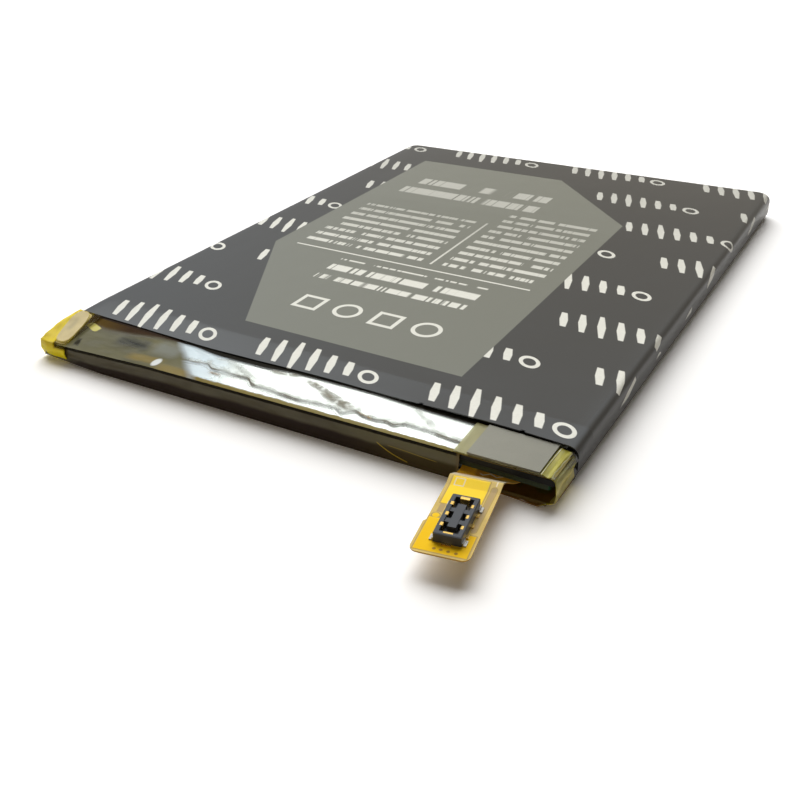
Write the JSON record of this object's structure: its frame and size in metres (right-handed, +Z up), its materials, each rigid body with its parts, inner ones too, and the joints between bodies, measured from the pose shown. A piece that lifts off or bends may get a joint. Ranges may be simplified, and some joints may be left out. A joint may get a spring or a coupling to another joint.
{
  "type": "mobile phone battery",
  "caption": "Flat lithium-polymer phone battery in a printed film sleeve, with a taped ledge and protection board at one end and a short formed flex lead with a connector.",
  "frame": {"origin": "middle of the film sleeve's back face, which lies on the table", "axes": "+X along the taped edge towards the lead, +Y from the taped edge to the far edge, +Z up through the printed face"},
  "size_m": [0.062, 0.0955, 0.0035],
  "materials": {
    "printed_film": "black film with cream and grey print, half gloss",
    "pouch_foil": "bright wrinkled foil",
    "clear_tape": "clear greenish-yellow polyimide tape",
    "yellow_tape": "bright yellow clear tape",
    "cream_pad": "matte cream",
    "grey_plate": "matte grey with fine speckle",
    "black_insulator": "black, half gloss",
    "green_board": "green solder mask",
    "brown_tape": "see-through brown tape",
    "black_foam": "closed foam",
    "tab_aluminium": "rolled aluminium",
    "nickel": "nickel strip",
    "chip_black": "moulded black",
    "chip_ceramic": "fired ceramic",
    "solder": "tinned",
    "amber_flex": "amber cover film over copper",
    "stiffener": "amber stiffener",
    "connector_plastic": "charcoal moulding",
    "gold_plate": "gold plated"
  },
  "bodies": {
    "root": {"label_film": "printed_film", "pouch_cell": "pouch_foil", "wrap_tape": "clear_tape", "left_end_tape": "yellow_tape", "right_end_tape": "clear_tape", "end_pad": "cream_pad", "cover_tape": "clear_tape", "grey_plate": "grey_plate", "insulating_strip": "black_insulator", "protection_board": "green_board", "bottom_flap": "brown_tape", "adhesive_pad": "black_foam", "positive_tab": "tab_aluminium", "negative_tab": "nickel", "tab_plates": "nickel", "protection_chip": "chip_black", "switch_transistors": "chip_black", "resistors": "chip_ceramic", "capacitors": "chip_ceramic", "thermistor": "chip_ceramic", "current_fuse": "chip_ceramic", "solder_joints": "solder", "flex_lead": "amber_flex", "flex_stiffener": "stiffener", "connector_housing": "connector_plastic", "signal_contacts": "gold_plate", "power_contacts": "gold_plate", "hold_downs": "solder"}
  },
  "joints": []
}
